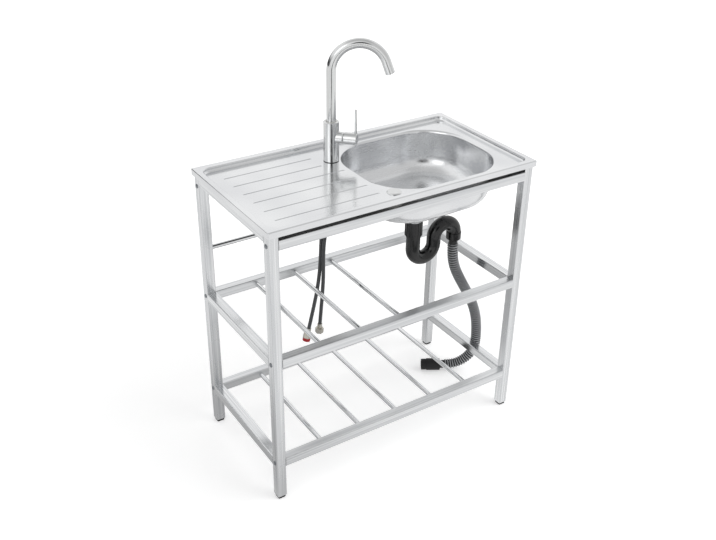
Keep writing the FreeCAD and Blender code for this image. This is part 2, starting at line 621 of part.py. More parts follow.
def bent_pipe(name, radius, bore, steps):
    """Sweep a ring along runs and bends that start straight up in the body's XZ plane."""
    body = new_body(name)
    section = sketch_on(body, "XY_Plane", f"{name}_section")
    ring(section, radius)
    ring(section, bore)
    path = sketch_on(body, "XZ_Plane", f"{name}_path")
    here = FreeCAD.Vector()
    heading = math.pi / 2
    last = None
    for kind, size, turn in steps:
        ahead = FreeCAD.Vector(math.cos(heading), math.sin(heading), 0)
        if kind == "run":
            there = here + ahead * amount(size)
            piece = path.addGeometry(Part.LineSegment(here, there), False)
            first, final = 1, 2
        else:
            sense, angle = turn
            left = FreeCAD.Vector(-ahead.y, ahead.x, 0) * sense
            centre = here + left * amount(size)
            spoke = math.atan2(-left.y, -left.x)
            sweep = math.radians(amount(angle))
            start, end = sorted((spoke, spoke + sense * sweep))
            arc = Part.ArcOfCircle(Part.Circle(centre, UP, amount(size)), start, end)
            piece = path.addGeometry(arc, False)
            first, final = (1, 2) if sense > 0 else (2, 1)
            heading += sense * sweep
            there = path.Geometry[piece].EndPoint if sense > 0 else path.Geometry[piece].StartPoint
        if last is None:
            path.addConstraint(Sketcher.Constraint("Coincident", piece, first, -1, 1))
            path.addConstraint(Sketcher.Constraint("Vertical", piece))
        else:
            path.addConstraint(Sketcher.Constraint("Tangent", last[0], last[1], piece, first))
        if kind == "run":
            tie(path, "Distance", piece, to=size)
        else:
            tie(path, "Radius", piece, to=size)
            index = path.addConstraint(Sketcher.Constraint("Angle", piece, sweep))
            path.setExpression(f"Constraints[{index}]", expression(f"({angle}) * 1 deg"))
        last = (piece, final)
        here = there
    pipe = body.newObject("PartDesign::AdditivePipe", f"{name}_sweep")
    pipe.Profile = section
    pipe.Spine = path
    return body


# Gooseneck: seated in the column's bush, turning about the column's axis.
spout = bent_pipe("tap_spout", "spout_radius", "spout_bore", [
    ("run", "spout_seat - gap + spout_run", None),
    ("bend", "spout_bend", (-1, "spout_bend_angle")),
    ("run", "spout_tip", None),
])
place(part(spout, "tap_spout"), "tap_x", "tap_y", f"{tap_top} - spout_seat + gap",
      FreeCAD.Rotation(UP, -amount("spout_turn")))
bush = tube("spout_bush", "spout_radius + bush_thickness + gap", "spout_radius + gap", "spout_seat")
on_tap(part(bush, "spout_bush"), f"{tap_top} - spout_seat")

aerator = new_body("spout_aerator")
disc = sketch_on(aerator, "XY_Plane", "aerator_disc")
ring(disc, "spout_bore - gap")
extrude(aerator, "Pad", disc, "aerator_length")
jet = sketch_on(aerator, "XY_Plane", "aerator_jet")
ring(jet, "aerator_hole_radius", "aerator_hole_ring", "0")
jet_hole = extrude(aerator, "Pocket", jet, "aerator_length + overrun", reverse=True)
jets = aerator.newObject("PartDesign::PolarPattern", "aerator_jets")
jets.Originals = [jet_hole]
jets.Axis = (jet, ["N_Axis"])
bind(jets, Occurrences="aerator_hole_count")
aerator.Tip = jets
tip_turn = FreeCAD.Rotation(UP, -amount("spout_turn")).multiply(
    FreeCAD.Rotation(BACK, amount("spout_bend_angle")))
tip_reach = ("(spout_bend * (1 - cos(spout_bend_angle)) + "
             "(spout_tip - aerator_length - aerator_recess) * sin(spout_bend_angle))")
tip_height = ("(spout_run + spout_bend * sin(spout_bend_angle) + "
              "(spout_tip - aerator_length - aerator_recess) * cos(spout_bend_angle))")
place(part(aerator, "spout_aerator"), f"tap_x + {tip_reach} * cos(spout_turn)",
      f"tap_y - {tip_reach} * sin(spout_turn)", f"{tap_top} + {tip_height}", tip_turn)

# Handle: the stem tilts on trunnions in a carrier that turns in the cartridge; the cap and the pin
# lever ride on the stem.
cartridge = turned("tap_cartridge", [
    ("0", "0"), ("cartridge_radius", "0"), ("cartridge_radius", "cartridge_length"),
    ("carrier_radius + gap", "cartridge_length"), ("carrier_radius + gap", "cartridge_floor"),
    ("0", "cartridge_floor"),
])
on_hub(part(cartridge, "tap_cartridge"), "cartridge_start")
carrier_start = "(cartridge_start + cartridge_floor + gap)"
nut_start = "(cartridge_start + cartridge_length + gap)"
cartridge_nut = tube("cartridge_nut", "cartridge_radius", "cartridge_nut_bore", "cartridge_nut_length")
on_hub(part(cartridge_nut, "cartridge_nut"), nut_start)

across_hub = FreeCAD.Rotation(UP, -amount("hub_turn")).multiply(along_y)


def across(thing, half_length):
    """Lay a piece level across the hub through the lever's pivot."""
    return place(thing, f"tap_x + pivot_reach * cos(hub_turn) - ({half_length}) * sin(hub_turn)",
                 f"tap_y - pivot_reach * sin(hub_turn) - ({half_length}) * cos(hub_turn)", hub_height,
                 across_hub)


carrier_disc = on_hub(cylinder("carrier_disc", "carrier_radius", "carrier_length"), carrier_start)
slot = doc.addObject("Part::Box", "carrier_slot")
slot_width = "(2 * stem_radius + 2 * gap)"
bind(slot, Length="stem_slot_height", Width=slot_width, Height="carrier_length + 2 * overrun")
slot_start = f"({carrier_start} - overrun)"
place(slot, f"tap_x + {slot_start} * cos(hub_turn) - {slot_width} / 2 * sin(hub_turn)",
      f"tap_y - {slot_start} * sin(hub_turn) - {slot_width} / 2 * cos(hub_turn)",
      f"{hub_height} + stem_slot_height / 2", along_hub)
trunnion_hole = across(cylinder("trunnion_hole", "trunnion_radius + gap", "2 * carrier_radius + 2 * overrun"),
                       "carrier_radius + overrun")
part(cut("cartridge_carrier", carrier_disc, fuse("carrier_cuts", slot, trunnion_hole)), "cartridge_carrier")

cap_start = "(stub_reach + seam)"
cap_length = f"(cap_reach - {cap_start})"
stem_start = "(pivot_reach - stem_tail)"
stem_end = f"({cap_start} + skirt_depth + stem_socket - gap)"
stem_rod = on_hub(cylinder("stem_rod", "stem_radius", f"{stem_end} - {stem_start}"), stem_start)
trunnion = across(cylinder("trunnion", "trunnion_radius", "trunnion_length"), "trunnion_length / 2")
part(fuse("handle_stem", stem_rod, trunnion), "handle_stem")

cap_blank = on_hub(turned("handle_cap_blank", [
    ("hub_radius - skirt_wall", "0"), ("hub_radius", "0"), ("hub_radius", f"{cap_length} - handle_edge"),
    ("hub_radius - handle_edge", cap_length), ("0", cap_length), ("0", "skirt_depth + stem_socket"),
    ("stem_radius + gap", "skirt_depth + stem_socket"), ("stem_radius + gap", "skirt_depth"),
    ("hub_radius - skirt_wall", "skirt_depth"),
]), cap_start)
lever_x = "(tap_x + (cap_reach - lever_inset) * cos(hub_turn))"
lever_y = "(tap_y - (cap_reach - lever_inset) * sin(hub_turn))"
lever_hole = place(cylinder("lever_hole", "lever_radius + gap", "2 * hub_radius + 2 * overrun"),
                   lever_x, lever_y, f"{hub_height} - hub_radius - overrun")
part(cut("handle_cap", cap_blank, lever_hole), "handle_cap")
lever = cylinder("handle_lever", "lever_radius", "lever_below + lever_above")
place(part(lever, "handle_lever"), lever_x, lever_y, f"{hub_height} - lever_below")

# Waste: flange and tail through the bowl's floor, gasket and lock nut under it, lift-out basket.
bowl_floor = f"({deck_top} - bowl_drop)"
bowl_under = f"({deck_top} - bowl_drop - sheet_thickness)"
tail_end = f"({bowl_floor} - waste_length)"


def on_waste(thing, height):
    """Stand a piece on the waste's axis, in the middle of the bowl."""
    return place(thing, "bowl_x", "bowl_y", height)


flange = turned("drain_flange", [
    ("waste_bore", "0"), ("waste_radius", "0"), ("waste_radius", "waste_length"),
    ("waste_flange_radius", "waste_length"), ("basket_flange_radius", "waste_length + waste_flange_rise"),
    ("waste_bore", "waste_length + waste_flange_rise"),
])
on_waste(part(flange, "drain_flange"), tail_end)
waste_gasket = tube("drain_gasket", "waste_gasket_radius", "waste_radius + gap", "waste_gasket_thickness")
on_waste(part(waste_gasket, "drain_gasket"), f"{bowl_under} - waste_gasket_thickness")
lock_level = f"({bowl_under} - waste_gasket_thickness - lock_nut_height)"
lock_nut_blank = hexagon("lock_nut_blank", "lock_nut_circumradius", "lock_nut_height")
lock_nut = cut("drain_lock_nut", on_waste(lock_nut_blank, lock_level),
               on_waste(cylinder("lock_nut_hole", "waste_radius + gap", "lock_nut_height + 2 * overrun"),
                        f"{lock_level} - overrun"))
part(lock_nut, "drain_lock_nut")

basket = turned("strainer_basket", [
    ("0", "0"), ("basket_radius", "0"), ("basket_radius", "basket_depth"),
    ("basket_flange_radius", "basket_depth"),
    ("basket_flange_radius", "basket_depth + basket_flange_thickness"),
    ("basket_radius - basket_wall", "basket_depth + basket_flange_thickness"),
    ("basket_radius - basket_wall", "basket_wall"), ("basket_knob_neck", "basket_wall"),
    ("basket_knob_neck", "basket_depth"), ("basket_knob_radius", "basket_depth + basket_knob_neck"),
    ("basket_knob_radius", "basket_depth + basket_knob_height"), ("0", "basket_depth + basket_knob_height"),
])
hole = sketch_on(basket, "XY_Plane", "basket_hole")
ring(hole, "basket_hole_radius", "basket_hole_ring", "0")
basket_hole = extrude(basket, "Pocket", hole, "basket_wall + overrun", reverse=True)
basket_holes = basket.newObject("PartDesign::PolarPattern", "basket_holes")
basket_holes.Originals = [basket_hole]
basket_holes.Axis = (hole, ["N_Axis"])
bind(basket_holes, Occurrences="basket_hole_count")
basket.Tip = basket_holes
on_waste(part(basket, "strainer_basket"), f"{bowl_floor} + waste_flange_rise - basket_depth")

# Trap: union nut with grip ribs, S-bend in the XZ plane, and the collar that holds the hose.
trap_top = f"({tail_end} - inlet_washer_thickness)"
inlet_washer = tube("trap_inlet_washer", "trap_radius", "trap_bore", "inlet_washer_thickness")
on_waste(part(inlet_washer, "trap_inlet_washer"), trap_top)
inlet_nut = turned("trap_inlet_nut", [
    ("trap_radius + gap", "0"), ("inlet_nut_radius", "0"), ("inlet_nut_radius", "inlet_nut_length"),
    ("waste_radius + gap", "inlet_nut_length"),
    ("waste_radius + gap", "inlet_nut_length - inlet_nut_overlap"),
    ("trap_radius + gap", "inlet_nut_length - inlet_nut_overlap"),
])
rib = sketch_on(inlet_nut, "XY_Plane", "grip_rib")
rib_depth = "(inlet_nut_radius - waste_radius - 2 * gap + inlet_nut_rib)"
rectangle(rib, rib_depth, "inlet_nut_rib_width", f"(inlet_nut_radius + inlet_nut_rib - {rib_depth} / 2)")
grip = extrude(inlet_nut, "Pad", rib, "inlet_nut_length")
grips = inlet_nut.newObject("PartDesign::PolarPattern", "grip_ribs")
grips.Originals = [grip]
grips.Axis = (rib, ["N_Axis"])
bind(grips, Occurrences="inlet_nut_rib_count")
inlet_nut.Tip = grips
on_waste(part(inlet_nut, "trap_inlet_nut"), f"{tail_end} - inlet_nut_length + inlet_nut_overlap")

trap = bent_pipe("trap_bend", "trap_radius", "trap_bore", [
    ("run", "trap_rise", None), ("bend", "trap_bend", (1, "180")), ("run", "trap_rise", None),
    ("bend", "trap_bend", (-1, "180")), ("run", "trap_inlet_run", None),
])
outlet_x = "(bowl_x + 4 * trap_bend)"
outlet_level = f"({trap_top} - trap_inlet_run)"
place(part(trap, "trap_bend"), outlet_x, "bowl_y", outlet_level)
outlet_collar = turned("trap_outlet_collar", [
    ("hose_bore", "0"), ("collar_radius - collar_edge", "0"), ("collar_radius", "collar_edge"),
    ("collar_radius", "collar_length"), ("trap_radius + gap", "collar_length"),
    ("trap_radius + gap", "collar_floor"), ("hose_bore", "collar_floor"),
])
place(part(outlet_collar, "trap_outlet_collar"), outlet_x, "bowl_y", f"{outlet_level} - collar_floor")

doc.recompute()

# Groups of identical pieces.
shelf_pitch = f"((2 * {leg_x} - tube_side) / shelf_gap_count)"


def shelf_places(count, height):
    """Place the bars of a shelf from the left at even gaps between the legs."""
    start = amount(f"tube_side / 2 - {leg_x}")
    front = amount(f"tube_side / 2 - {leg_y}")
    bar_places = [start + amount(shelf_pitch) * (bar + 1) for bar in range(count)]
    return [FreeCAD.Placement(FreeCAD.Vector(x, front, amount(height)), along_y) for x in bar_places]


copies("mid_shelf_tubes", shelf_tube, shelf_places(int(amount("mid_shelf_count")), "mid_rail_height"))
copies("lower_shelf_tubes", shelf_tube, shelf_places(int(amount("shelf_gap_count")) - 1, "lower_rail_height"))
screw_places = []
plug_places = []
foot_places = []
for side in (-1, 1):
    inward = FreeCAD.Rotation(BACK, -90 * side)
    outer_x = side * amount(f"{leg_x} + tube_side / 2 + screw_head_height")
    rail_end_x = side * amount(f"{leg_x} - tube_side / 2")
    for depth in (-1, 1):
        y = depth * amount(leg_y)
        foot_places.append(FreeCAD.Placement(
            FreeCAD.Vector(side * amount(leg_x), y, amount("foot_height")), FreeCAD.Rotation()))
        for height in long_heights.values():
            z = amount(height)
            screw_places.append(FreeCAD.Placement(FreeCAD.Vector(outer_x, y, z), inward))
            plug_places.append(FreeCAD.Placement(FreeCAD.Vector(rail_end_x, y, z), inward))
copies("rail_screws", screw, screw_places)
copies("rail_end_plugs", rail_plug, plug_places)
copies("leg_end_plugs", leg_plug, foot_places)


# Hoses: straight runs joined by the largest arcs that the runs allow.
def rounded_path(label, route):
    """Return a wire along a route, with each corner rounded by 0.45 of its shorter run."""
    corner_share = 0.45
    edges = []
    radii = []
    here = route[0]
    for before, corner, after in zip(route, route[1:], route[2:]):
        inward = (corner - before).normalize()
        outward = (after - corner).normalize()
        half_turn = inward.getAngle(outward) / 2
        setback = corner_share * min((corner - before).Length, (after - corner).Length)
        radii.append(setback / math.tan(half_turn))
        start = corner - inward * setback
        end = corner + outward * setback
        bisector = (outward - inward).normalize()
        middle = corner + bisector * (radii[-1] / math.cos(half_turn) - radii[-1])
        edges.append(Part.LineSegment(here, start).toShape())
        edges.append(Part.Arc(start, middle, end).toShape())
        here = end
    edges.append(Part.LineSegment(here, route[-1]).toShape())
    wire = Part.Wire(edges)
    print(label, "length", round(wire.Length), "radii", [round(radius) for radius in radii])
    return wire


def hose_tube(wire, radius):
    """Sweep a round section along a wire."""
    start = wire.Edges[0].firstVertex().Point
    ahead = wire.Edges[0].tangentAt(wire.Edges[0].FirstParameter)
    circle = Part.Wire(Part.makeCircle(radius, start, ahead))
    solid = wire.makePipeShell([circle], True, False)
    print("  volume over section times length", round(solid.Volume / (math.pi * radius**2 * wire.Length), 4))
    return solid


def supply_hose(label, route):
    """Make a bored hose along its route."""
    wire = rounded_path(label, route)
    hose = doc.addObject("Part::Feature", label)
    hose.Shape = hose_tube(wire, amount("supply_radius")).cut(hose_tube(wire, amount("supply_bore")))
    return part(hose, label)


def stations(wire, distances):
    """Return the points and directions at distances along a wire."""
    edges = wire.Edges
    places = []
    for distance in distances:
        left = distance
        for edge in edges[:-1]:
            if left <= edge.Length:
                break
            left -= edge.Length
        else:
            edge = edges[-1]
        parameter = edge.getParameterByLength(min(left, edge.Length))
        places.append((edge.valueAt(parameter), edge.tangentAt(parameter)))
    return places


def ribbed_hose(label, route):
    """Loft a ribbed hose through four circles per rib, with straight plain ends and a bore."""
    wire = rounded_path(label, route)
    crest, valley = amount("hose_radius"), amount("hose_valley")
    count = int(amount("hose_rib_count"))
    plain = 2 * crest
    pitch = (wire.Length - 2 * plain) / count
    rib_shares = ((0, valley), (0.2, crest), (0.6, crest), (0.8, valley))
    rings = [(0, valley)]
    rings += [(plain + pitch * (rib + share), radius) for rib in range(count) for share, radius in rib_shares]
    rings.append((wire.Length, valley))
    places = stations(wire, [distance for distance, radius in rings])
    wires = []
    for (centre, ahead), (distance, radius) in zip(places, rings):
        sideways = BACK.cross(ahead).normalize()
        circle = Part.Circle(centre, ahead, radius)
        circle.XAxis = sideways
        wires.append(Part.Wire(circle.toShape()))
    hose = doc.addObject("Part::Feature", label)
    hose.Shape = Part.makeLoft(wires, True, True).cut(hose_tube(wire, amount("hose_bore")))
    return part(hose, label)


def from_tap(side, offsets):
    """Return a supply hose's route from the ceiling of the tap's chamber, left or right of its axis."""
    fixed_end = FreeCAD.Vector(amount("tap_x") + side * amount("supply_offset"), amount("tap_y"),
                               amount(f"{tap_base} + hose_chamber_depth"))
    return [fixed_end + FreeCAD.Vector(*offset) for offset in offsets]


outlet = FreeCAD.Vector(amount(outlet_x), amount("bowl_y"), amount(f"{outlet_level} - collar_floor"))
lying_height = amount("hose_end_radius + gap")
drain_route = [
    outlet + FreeCAD.Vector(x, y, (share - 1) * (outlet.z - lying_height))
    for (x, y), share in zip(DRAIN_OFFSETS, DRAIN_HEIGHT_SHARES)
]
hot_route = from_tap(-1, HOT_OFFSETS)
cold_route = from_tap(1, COLD_OFFSETS)
ribbed_hose("drain_hose", drain_route)
supply_hose("hot_supply_hose", hot_route)
supply_hose("cold_supply_hose", cold_route)


def at_route_end(thing, route):
    """Set a piece at the end of a hose, its Z axis along the last run."""
    last, end = route[-2:]
    thing.Placement = FreeCAD.Placement(end, FreeCAD.Rotation(UP, end - last))
    return thing


hose_end = turned("drain_hose_end", [
    ("hose_bore", "0"), ("hose_end_radius", "0"), ("hose_end_radius", "hose_end_length - hose_spigot_length"),
    ("hose_spigot_radius", "hose_end_length - hose_spigot_length"),
    ("hose_spigot_radius", "hose_end_length"), ("hose_end_bore", "hose_end_length"),
    ("hose_end_bore", "hose_radius"), ("hose_bore", "hose_radius"),
])
at_route_end(part(hose_end, "drain_hose_end"), drain_route)

for label, route in (("hot_hose_nut", hot_route), ("cold_hose_nut", cold_route)):
    ferrule = turned(f"{label}_ferrule", [
        ("supply_bore", "0"), ("ferrule_radius", "0"), ("ferrule_radius", "ferrule_length"),
        ("supply_bore", "ferrule_length"),
    ])
    nut = hexagon(f"{label}_blank", "hose_nut_circumradius", "hose_nut_length")
    place(nut, "0", "0", "ferrule_length")
    bore = cylinder(f"{label}_bore", "supply_bore", "ferrule_length + hose_nut_length")
    thread = place(cylinder(f"{label}_thread", "hose_thread_radius", "hose_thread_depth + overrun"),
                   "0", "0", "ferrule_length + hose_nut_length - hose_thread_depth")
    fitting = cut(label, fuse(f"{label}_solid", ferrule, nut), fuse(f"{label}_way", bore, thread))
    at_route_end(part(fitting, label), route)

hot_cap = turned("hot_hose_cap", [
    ("0", "0"), ("hose_thread_radius - gap", "0"), ("hose_thread_radius - gap", "hot_cap_plug"),
    ("hot_cap_radius", "hot_cap_plug"), ("hot_cap_radius", "hot_cap_plug + hot_cap_length"),
    ("0", "hot_cap_plug + hot_cap_length"),
])
at_route_end(part(hot_cap, "hot_hose_cap"), hot_route)
hot_axis = hot_cap.Placement.Rotation.multVec(UP)
hot_cap.Placement.Base += hot_axis * amount("ferrule_length + hose_nut_length - hot_cap_plug")

doc.recompute()

# Check every object, then write the sub-parts.
for thing in doc.Objects:
    if {"Invalid", "Error"} & set(thing.State):
        raise RuntimeError(f"{thing.Label} failed: {thing.State}")
for thing in parts:
    if thing.Shape.isNull() or not thing.Shape.isValid():
        raise RuntimeError(f"{thing.Label} has no valid shape")
os.makedirs("parts", exist_ok=True)
for thing in parts:
    thing.Shape.exportStep(f"parts/{thing.Label}.step")
print(len(parts), "sub-parts written")
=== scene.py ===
import bpy
import numpy as np
from mathutils import Matrix


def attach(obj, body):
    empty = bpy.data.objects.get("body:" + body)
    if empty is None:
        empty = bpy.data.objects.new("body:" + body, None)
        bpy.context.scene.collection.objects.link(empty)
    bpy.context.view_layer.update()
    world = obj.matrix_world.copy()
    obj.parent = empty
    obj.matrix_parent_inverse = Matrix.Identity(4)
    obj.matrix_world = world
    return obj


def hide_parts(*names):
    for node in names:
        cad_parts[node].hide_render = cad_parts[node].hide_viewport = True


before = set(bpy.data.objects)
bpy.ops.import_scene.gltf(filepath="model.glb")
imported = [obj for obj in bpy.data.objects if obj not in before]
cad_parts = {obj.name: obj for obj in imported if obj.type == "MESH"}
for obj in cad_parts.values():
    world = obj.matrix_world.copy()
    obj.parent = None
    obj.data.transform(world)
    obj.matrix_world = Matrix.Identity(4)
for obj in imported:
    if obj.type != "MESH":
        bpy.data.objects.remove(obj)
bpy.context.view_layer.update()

# Square-tube stand: legs and rails of 25 mm stainless tube, roll-formed from 1.2 mm strip and belt-polished
# along its length. The side rails are welded between the legs; the long rails are screwed to them. The round
# tubes of the shelves and the rear bar are bright-drawn.


def linear(code):
    """Turn an sRGB hex colour to linear: c / 12.92 up to 0.04045, else ((c + 0.055) / 1.055) ^ 2.4."""
    c = np.array([int(code[i:i + 2], 16) for i in (1, 3, 5)]) / 255
    return (*np.where(c <= 0.04045, c / 12.92, ((c + 0.055) / 1.055) ** 2.4), 1.0)


def add(tree, kind, inputs=None, **settings):
    """Add a shader node with its settings; each input is a value or the socket that it is linked to."""
    made = tree.nodes.new("ShaderNode" + kind)
    for name, value in settings.items():
        setattr(made, name, value)
    for name, value in (inputs or {}).items():
        if isinstance(value, bpy.types.NodeSocket):
            tree.links.new(value, made.inputs[name])
        else:
            made.inputs[name].default_value = value
    return made


def finish(name):
    """Start an empty material and return it with its node tree."""
    made = bpy.data.materials.new(name)
    made.use_nodes = True
    made.node_tree.nodes.clear()
    return made, made.node_tree


def coat(material, *names):
    """Give CAD nodes this material."""
    for name in names:
        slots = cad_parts[name].data.materials
        slots.clear()
        slots.append(material)


def polished_tube(name, along, low, high):
    """Belt-polished stainless: bright, nearly a mirror, with pale and grey streaks along its length.

    The belt's scratches are about 0.1 mm apart; the streaks they gather into are about 4 mm wide and 0.4 m long.
    The roughness drifts from low to high over 90 mm. The tube runs along axis 0, 1 or 2, for X, Y or Z.
    """
    streak_length, streak_width, haze_size = 0.4, 0.004, 0.09
    material, tree = finish(name)
    place = add(tree, "TexCoord").outputs["Object"]
    stretch = tuple(1 / streak_length if axis == along else 1 / streak_width for axis in range(3))
    streak_place = add(tree, "Mapping", {"Vector": place, "Scale": stretch})
    streak = add(tree, "TexNoise", {"Vector": streak_place.outputs["Vector"], "Scale": 1.0, "Detail": 3.0})
    tint = add(tree, "ValToRGB", {"Fac": streak.outputs["Fac"]})
    tint.color_ramp.elements[0].position, tint.color_ramp.elements[0].color = 0.3, linear("#CED0D2")
    tint.color_ramp.elements[1].position, tint.color_ramp.elements[1].color = 0.68, linear("#E9EAEB")
    haze = add(tree, "TexNoise", {"Vector": place, "Scale": 1 / haze_size, "Detail": 2.0})
    gloss = add(tree, "MapRange", {"Value": haze.outputs["Fac"], "From Min": 0.3, "From Max": 0.7,
                                   "To Min": low, "To Max": high})
    relief = add(tree, "Bump", {"Height": streak.outputs["Fac"], "Strength": 0.06, "Distance": 0.0002})
    steel = add(tree, "BsdfPrincipled", {"Base Color": tint.outputs["Color"], "Metallic": 1.0,
                                         "Roughness": gloss.outputs["Result"], "Normal": relief.outputs["Normal"]})
    add(tree, "OutputMaterial", {"Surface": steel.outputs["BSDF"]})
    return material


coat(polished_tube("polished_stainless_long", along=0, low=0.3, high=0.38), "top_rail_front", "top_rail_back",
     "mid_rail_front", "mid_rail_back", "lower_rail_front", "lower_rail_back")
side_tube = polished_tube("polished_stainless_side", along=1, low=0.14, high=0.22)
coat(side_tube, "top_rail_left", "top_rail_right", "mid_rail_left", "mid_rail_right", "lower_rail_left",
     "lower_rail_right")
coat(polished_tube("polished_stainless_upright", along=2, low=0.24, high=0.3), "leg_front_left", "leg_front_right",
     "leg_back_left", "leg_back_right")
coat(polished_tube("bright_drawn_stainless", along=1, low=0.07, high=0.12), "mid_shelf_tubes", "lower_shelf_tubes")
coat(polished_tube("bright_drawn_stainless_bar", along=0, low=0.07, high=0.12), "rear_brace_bar")

# Weld beads close the corners above and below each side rail where its end meets a leg. They are runs of stainless
# filler 25 mm long, 1.5 mm proud, with the ripple that the torch leaves about every 2 mm.


def skin(name, grids, material, light_and_shade_marks=None):
    """Make a mesh of stacked grids of points, rows by columns, closed both ways.

    Cell (i, j) has the corners (i, j), (i, j + 1), (i + 1, j + 1), (i + 1, j), with rows and columns wrapping.
    Marks give each point a number from 0 to 1, which the hose materials paint as light and shade.
    """
    index = np.arange(grids.size // 3).reshape(grids.shape[:-1])
    right, below = np.roll(index, -1, axis=-1), np.roll(index, -1, axis=-2)
    faces = np.stack([index, right, np.roll(below, -1, axis=-1), below], axis=-1).reshape(-1, 4)
    mesh = bpy.data.meshes.new(name)
    mesh.from_pydata(grids.reshape(-1, 3), [], faces)
    if light_and_shade_marks is not None:
        mesh.attributes.new("light_and_shade", "FLOAT", "POINT").data.foreach_set("value", light_and_shade_marks.astype(np.float32).ravel())
    mesh.polygons.foreach_set("use_smooth", np.ones(len(faces), dtype=bool))
    mesh.materials.append(material)
    made = bpy.data.objects.new(name, mesh)
    bpy.context.scene.collection.objects.link(made)
    return made


bead_length, bead_radius, ripple_pitch, ripple_depth = 0.025, 0.0015, 0.002, 0.12
bead_rows, bead_columns = 60, 14
reach = np.linspace(0, 1, bead_rows)[:, None]
turn = np.linspace(0, 2 * np.pi, bead_columns, endpoint=False)[None, :]
ends = np.clip(np.minimum(reach, 1 - reach) * bead_length / bead_radius, 0.02, 1)
ripple = 1 + ripple_depth * np.cos(2 * np.pi * reach * bead_length / ripple_pitch)
thick = bead_radius * np.sqrt(ends * (2 - ends)) * ripple
bead = np.stack(np.broadcast_arrays(reach * bead_length - bead_length / 2, thick * np.cos(turn), thick * np.sin(turn)),
                axis=-1)
leg_x, leg_inside_y = 0.3585, 0.165
rail_edges = (0.721, 0.4195, 0.3945, 0.1245, 0.0995)
corners = [(leg_x * side, leg_inside_y * depth, level) for side in (-1, 1) for depth in (-1, 1)
           for level in rail_edges]
beads = skin("weld_beads", bead + np.array(corners)[:, None, None, :], side_tube)
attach(beads, "stand")

# Screws of zinc-plated steel run through the legs into plugs in the rails' ends, and have domed heads with a pressed
# cross. Those plugs, and the ones that close the legs and take the feet, are moulded in polypropylene.
spangle_size = 0.0015
zinc, tree = finish("zinc_plated_steel")
place = add(tree, "TexCoord").outputs["Object"]
# Passivated zinc has a soft crystalline mottle of about 1.5 mm.
spangle = add(tree, "TexVoronoi", {"Vector": place, "Scale": 1 / spangle_size})
tint = add(tree, "ValToRGB", {"Fac": spangle.outputs["Distance"]})
tint.color_ramp.elements[0].color, tint.color_ramp.elements[1].color = linear("#7C8084"), linear("#A6A9AD")
gloss = add(tree, "MapRange", {"Value": spangle.outputs["Distance"], "To Min": 0.28, "To Max": 0.42})
plating = add(tree, "BsdfPrincipled", {"Base Color": tint.outputs["Color"], "Metallic": 1.0,
                                       "Roughness": gloss.outputs["Result"]})
add(tree, "OutputMaterial", {"Surface": plating.outputs["BSDF"]})

# A screw's profile turns about its axis: (distance out of the leg, radius).
head_radius, neck_radius, head_rise, rim_rise = 0.0055, 0.0053, 0.0028, 0.001
shank_length, shank_radius, tip_length, tip_radius, axis_radius = 0.039, 0.003, 0.0015, 0.0022, 0.00005
arm_width, arm_reach, cross_depth, side_slope, end_slope = 0.0007, 0.0029, 0.0013, 0.0003, 0.0006
head_rows, head_columns = 30, 72
dome = np.linspace(head_radius, axis_radius, head_rows)
turn = np.linspace(0, 2 * np.pi, head_columns, endpoint=False)
folded = (turn + np.pi / 4) % (np.pi / 2) - np.pi / 4
across = dome[:, None] * np.abs(np.sin(folded))[None, :]
pressed = np.clip((arm_width - across) / side_slope, 0, 1) * np.clip((arm_reach - dome[:, None]) / end_slope, 0, 1)
dome_rise = rim_rise + (head_rise - rim_rise) * (1 - (dome[:, None] / head_radius) ** 2) - cross_depth * pressed
shank = np.array([(-shank_length, axis_radius), (-shank_length, tip_radius), (tip_length - shank_length, shank_radius),
                  (0, shank_radius), (0, neck_radius), (0.0002, head_radius), (0.0009, head_radius)])
out = np.concatenate([np.repeat(shank[:, :1], head_columns, axis=1), dome_rise])
wide = np.concatenate([shank[:, 1], dome])[:, None]
leg_outside_x, leg_y, screw_levels = 0.371, 0.1775, (0.717, 0.407, 0.112)
holes = [(side, leg_y * depth, level) for side in (-1, 1) for depth in (-1, 1) for level in screw_levels]
screw_grids = np.stack([np.stack([side * (leg_outside_x + out), y + wide * np.cos(turn),
                                  z + side * wide * np.sin(turn)], axis=-1) for side, y, z in holes])
screws = skin("cross_head_screws", screw_grids, zinc)
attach(screws, "stand")
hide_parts("rail_screws")


def moulded_plastic(name, dark, light, low, high, grit):
    """Moulded plastic or rubber: satin, with a spark-eroded grain of the given size and clouds of about 30 mm."""
    cloud_size = 0.03
    material, tree = finish(name)
    place = add(tree, "TexCoord").outputs["Object"]
    cloud = add(tree, "TexNoise", {"Vector": place, "Scale": 1 / cloud_size, "Detail": 3.0})
    tint = add(tree, "ValToRGB", {"Fac": cloud.outputs["Fac"]})
    tint.color_ramp.elements[0].position, tint.color_ramp.elements[0].color = 0.3, linear(dark)
    tint.color_ramp.elements[1].position, tint.color_ramp.elements[1].color = 0.7, linear(light)
    texture = add(tree, "TexNoise", {"Vector": place, "Scale": 1 / grit, "Detail": 2.0})
    gloss = add(tree, "MapRange", {"Value": cloud.outputs["Fac"], "To Min": low, "To Max": high})
    relief = add(tree, "Bump", {"Height": texture.outputs["Fac"], "Strength": 0.08, "Distance": 0.0003})
    plastic = add(tree, "BsdfPrincipled", {"Base Color": tint.outputs["Color"], "IOR": 1.5,
                                           "Roughness": gloss.outputs["Result"], "Normal": relief.outputs["Normal"]})
    add(tree, "OutputMaterial", {"Surface": plastic.outputs["BSDF"]})
    return material


black_plastic = moulded_plastic("black_polypropylene", "#0B0B0C", "#151516", low=0.12, high=0.2, grit=0.003)
coat(black_plastic, "rail_end_plugs", "leg_end_plugs")

# Square levelling feet, moulded in plastic with a face of black rubber. Each stands on the floor and is carried by a
# stud that screws into the plug in the leg's end.
rubber = moulded_plastic("black_rubber", "#08080A", "#111113", low=0.5, high=0.7, grit=0.0008)
coat(rubber, "foot_front_left", "foot_front_right", "foot_back_left", "foot_back_right")

